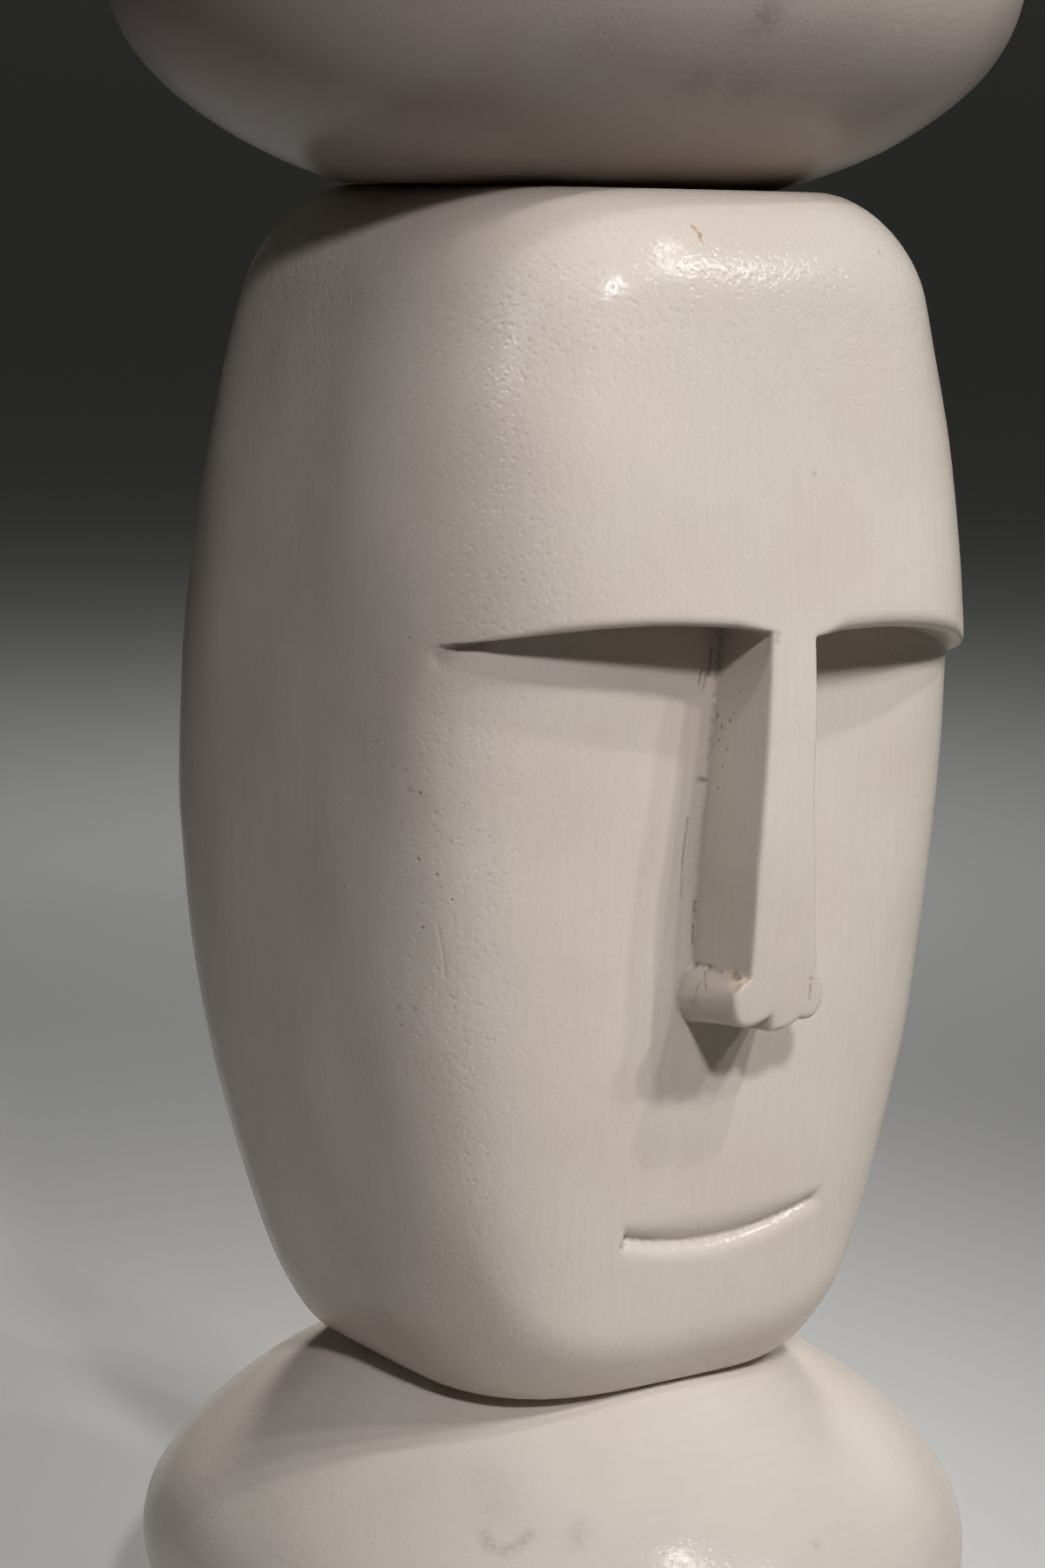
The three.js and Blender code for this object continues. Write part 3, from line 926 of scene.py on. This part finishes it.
# %% Uneven surfaces and smudges
LOWER_SMUDGES = [
    # path on the cushion in mm, half width, strength
    ([(-67.9, -74.3, 69.9), (-68.2, -77.2, 67.9), (-65.6, -80.6, 67.3), (-61.0, -81.8, 69.2),
      (-58.9, -81.5, 70.5)], 1.8, 0.22),
    ([(-60.6, -62.9, 79.4), (-58.8, -68.2, 77.9), (-62.0, -70.5, 75.0)], 6.0, 0.09),
    ([(-46.9, -87.1, 72.3), (-49.2, -89.4, 69.8)], 3.0, 0.13),
    ([(14.2, -110.2, 62.6), (13.2, -110.4, 62.4)], 1.2, 0.18),
]
UPPER_SMUDGES = [
    ([(-20.3, -111.9, 457.0), (-20.3, -111.7, 456.5)], 4.2, 0.30),
    ([(-30.3, -98.2, 440.4), (-29.5, -98.6, 440.8)], 5.0, 0.16),
    ([(-16.0, -100.4, 440.3), (-17.0, -100.2, 440.3)], 5.5, 0.16),
]
SMUDGE_SPACING = 0.9
SWELL_HEIGHT, SWELL_LENGTH = 0.55, 95
SHIVER_HEIGHT, SHIVER_LENGTH = 0.12, 24
CUSHION_PITTED, CUSHION_PEBBLED = 0.12, 0.4
SEAT_EDGE_ANGLE = 35


def to_mm(points):
    return points / MM


def smudge_spacing(smudges):
    def spacing(points):
        wanted = np.full(len(points), OPEN_SPACING)
        for path, half_width, _ in smudges:
            path = [np.array(place) for place in path]
            wanted[distance_to_path(points, path) < half_width + 2] = SMUDGE_SPACING
        return wanted
    return spacing


def finish_cushion(piece, smudges, seed):
    for _ in range(2):
        refine(piece.data, smudge_spacing(smudges), to_mm)
    mesh = piece.data
    points = points_of(mesh)
    places = points / MM
    low, high = places[:, 2].min(), places[:, 2].max()
    reach = np.hypot(places[:, 0], places[:, 1])
    from_flats = np.clip((places[:, 2] - low) / 12, 0, 1) * np.clip((reach - 20) / 40, 0, 1)
    from_flats *= np.clip((high - places[:, 2]) / 12, 0, 1)
    swell = SWELL_HEIGHT * gentle_waves(places, SWELL_LENGTH, seed)
    swell = swell + SHIVER_HEIGHT * gentle_waves(places, SHIVER_LENGTH, seed + 1)
    outward = places - np.array([0, 0, (low + high) / 2])
    outward /= np.maximum(np.linalg.norm(outward, axis=1, keepdims=True), 1e-6)
    set_points(mesh, points + outward * (swell * from_flats)[:, None] * MM)
    darkening = np.zeros(len(points))
    for path, half_width, strength in smudges:
        path = [np.array(place) for place in path]
        gap = distance_to_path(places, path)
        darkening = np.maximum(darkening, strength * np.exp(-((gap / half_width) ** 2)))
    add_attribute(mesh, "grime_and_shade", darkening)
    add_attribute(mesh, "bare_wood", np.zeros(len(points)))
    add_attribute(mesh, "pitted", np.full(len(points), CUSHION_PITTED))
    add_attribute(mesh, "pebbled", np.full(len(points), CUSHION_PEBBLED))
    shade_smooth(mesh)
    mesh.set_sharp_from_angle(angle=math.radians(SEAT_EDGE_ANGLE))
    print(piece.name, "darkest smudge", round(float(darkening.max()), 2))


finish_cushion(lower, LOWER_SMUDGES, seed=11)
finish_cushion(upper, UPPER_SMUDGES, seed=21)

# %% [markdown]
# ## Cream enamel on carved wood
#
# The real coat is alkyd enamel, brushed on in several layers. Such paint has an index of
# refraction near 1.5 and dries to a satin gloss. The brush leaves fine streaks about a
# millimetre apart, and the coat itself draws together to an orange-peel about two millimetres
# wide, which breaks up every highlight. Pits of about a millimetre show the wood's pores.
#
# The colour clouds a little between cream and grey, and each pit is painted a darker grey as
# painted shade. Dirt and the painted shade of the inner corners, the mouth and the marks share
# one dark warm grey that breaks up at its edges, and bare wood is light brown.

# %% Mix the enamel
STROKE_WIDTH = 1.3 * MM
STROKE_LENGTH = 45 * MM
PEEL_WIDTH = 2.3 * MM
PIT_SPACING = 6.5 * MM
CLOUD_WIDTH = 60 * MM
BREAKUP_PATCH = 1.6 * MM
STROKE_HEIGHT, PEEL_HEIGHT = 0.03 * MM, 0.14 * MM
CRATER_HEIGHT, PIT_DEPTH = 0.08 * MM, 0.16 * MM
LEAST_ROUGHNESS, MOST_ROUGHNESS = 0.20, 0.26
# The pit colour is painted shade; the next dark grey serves both dirt and painted shade; the last is
# bare wood.
PIT_SHADE, DIRT_AND_SHADE, BARE_WOOD = "#6d6253", "#3f372f", "#a8865f"
# A Mix node's colour comes out of its third output.
COLOUR = 2


def brushed_enamel(name, creams, upright_strokes):
    material, tree = new_material(name)
    place = add_node(tree, "ShaderNodeTexCoord").outputs["Object"]

    def pattern(kind, size, **more):
        return add_node(tree, kind, {"Vector": place, "Scale": 1 / size, **more})

    cloud = pattern("ShaderNodeTexNoise", CLOUD_WIDTH, Detail=2.0, Roughness=0.6)
    tone = add_node(tree, "ShaderNodeValToRGB", {"Fac": cloud.outputs["Fac"]})
    tone.color_ramp.interpolation = "EASE"
    tone.color_ramp.elements[0].position = 0.22
    tone.color_ramp.elements[0].color = paint(creams[0])
    tone.color_ramp.elements[1].position = 0.78
    tone.color_ramp.elements[1].color = paint(creams[1])

    across, along = 1 / STROKE_WIDTH, 1 / STROKE_LENGTH
    scale = (across, across, along) if upright_strokes else (along, along, across)
    combed = add_node(tree, "ShaderNodeMapping", {"Vector": place, "Scale": scale})
    stroke = add_node(
        tree, "ShaderNodeTexNoise",
        {"Vector": combed.outputs["Vector"], "Scale": 1.0, "Detail": 2.0, "Roughness": 0.6},
    )
    peel = pattern("ShaderNodeTexNoise", PEEL_WIDTH, Detail=1.0, Distortion=0.8)
    drop = pattern("ShaderNodeTexVoronoi", PEEL_WIDTH)
    crater = add_node(
        tree, "ShaderNodeMapRange",
        {"Value": drop.outputs["Distance"], "From Min": 0.12, "From Max": 0.4},
        interpolation_type="SMOOTHSTEP",
    )

    pebbled = add_node(tree, "ShaderNodeAttribute", attribute_name="pebbled")
    pebbles, craters = [
        add_node(tree, "ShaderNodeMath", {0: height, 1: pebbled.outputs["Fac"]}, operation="MULTIPLY")
        for height in (peel.outputs["Fac"], crater.outputs["Result"])
    ]

    pitted = add_node(tree, "ShaderNodeAttribute", attribute_name="pitted")
    pit_place = pattern("ShaderNodeTexVoronoi", PIT_SPACING)
    pit_reach = add_node(
        tree, "ShaderNodeMath", {0: pit_place.outputs["Distance"], 1: pitted.outputs["Fac"]},
        operation="DIVIDE",
    )
    pit = add_node(
        tree, "ShaderNodeMapRange",
        {"Value": pit_reach.outputs["Value"], "From Min": 0.03, "From Max": 0.12},
        interpolation_type="SMOOTHSTEP",
    )

    streaked = add_node(
        tree, "ShaderNodeMapRange",
        {"Value": stroke.outputs["Fac"], "From Min": 0.35, "From Max": 0.75, "To Max": 0.22},
    )
    shaded = add_node(
        tree, "ShaderNodeMapRange",
        {"Value": pit.outputs["Result"], "To Min": 0.45, "To Max": 0.0},
    )

    patchy = pattern("ShaderNodeTexNoise", BREAKUP_PATCH, Detail=1.0, Roughness=0.7)
    broken = add_node(
        tree, "ShaderNodeMapRange",
        {
            "Value": patchy.outputs["Fac"], "From Min": 0.3, "From Max": 0.6,
            "To Min": 0.35, "To Max": 1.1,
        },
    )
    grime_and_shade = add_node(tree, "ShaderNodeAttribute", attribute_name="grime_and_shade")
    wood = add_node(tree, "ShaderNodeAttribute", attribute_name="bare_wood")
    dirty_and_shaded, bare = [
        add_node(
            tree, "ShaderNodeMath", {0: share.outputs["Fac"], 1: broken.outputs["Result"]},
            operation="MULTIPLY", use_clamp=True,
        )
        for share in (grime_and_shade, wood)
    ]

    coat = tone.outputs["Color"]
    for share, colour in (
        (streaked.outputs["Result"], creams[2]), (shaded.outputs["Result"], PIT_SHADE),
        (dirty_and_shaded.outputs["Value"], DIRT_AND_SHADE), (bare.outputs["Value"], BARE_WOOD),
    ):
        laid = add_node(
            tree, "ShaderNodeMix",
            {"Factor_Float": share, "A_Color": coat, "B_Color": paint(colour)}, data_type="RGBA",
        )
        coat = laid.outputs[COLOUR]

    gloss = add_node(
        tree, "ShaderNodeMapRange",
        {
            "Value": cloud.outputs["Fac"], "From Min": 0.2, "From Max": 0.8,
            "To Min": LEAST_ROUGHNESS, "To Max": MOST_ROUGHNESS,
        },
        interpolation_type="SMOOTHSTEP",
    )
    relief = None
    for source, depth in (
        (stroke.outputs["Fac"], STROKE_HEIGHT), (pebbles.outputs["Value"], PEEL_HEIGHT),
        (craters.outputs["Value"], CRATER_HEIGHT), (pit.outputs["Result"], PIT_DEPTH),
    ):
        links = {"Height": source, "Distance": depth, "Strength": 1.0}
        if relief:
            links["Normal"] = relief.outputs["Normal"]
        relief = add_node(tree, "ShaderNodeBump", links)
    shader = add_node(tree, "ShaderNodeBsdfPrincipled", {
        "Base Color": coat, "Roughness": gloss.outputs["Result"],
        "IOR": 1.5, "Specular IOR Level": 0.25, "Normal": relief.outputs["Normal"],
    })
    add_node(tree, "ShaderNodeOutputMaterial", {"Surface": shader.outputs["BSDF"]})
    print(name, "mixed from", len(tree.nodes), "nodes")
    return material


# The three creams of a coat are those of its darker clouds, its lighter clouds and its streaks.
head_enamel = brushed_enamel(
    "brushed cream enamel, head", ("#cabdb1", "#ccc3b7", "#bdb4a8"), upright_strokes=True,
)
lower_enamel = brushed_enamel(
    "brushed cream enamel, lower", ("#cbc0b6", "#d0c8bd", "#c0b8ad"), upright_strokes=False,
)
# The upper cushion wears the same enamel, but its creams are painted darker than the others': a
# painted shade.
upper_enamel = brushed_enamel(
    "brushed cream enamel, upper, painted darker", ("#ae9f98", "#b2a9a0", "#b09c94"), upright_strokes=False,
)

# %% Finish the pieces
for piece, node, slot, finish in (
    (lower, "lower_form", "lower_enamel", lower_enamel),
    (head, "head", "head_enamel", head_enamel),
    (upper, "upper_form", "upper_enamel", upper_enamel),
):
    piece.data.materials.clear()
    piece.data.materials.append(finish)
    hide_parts(node)
    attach(piece, "root")
    print(piece.name, "stands for", node)
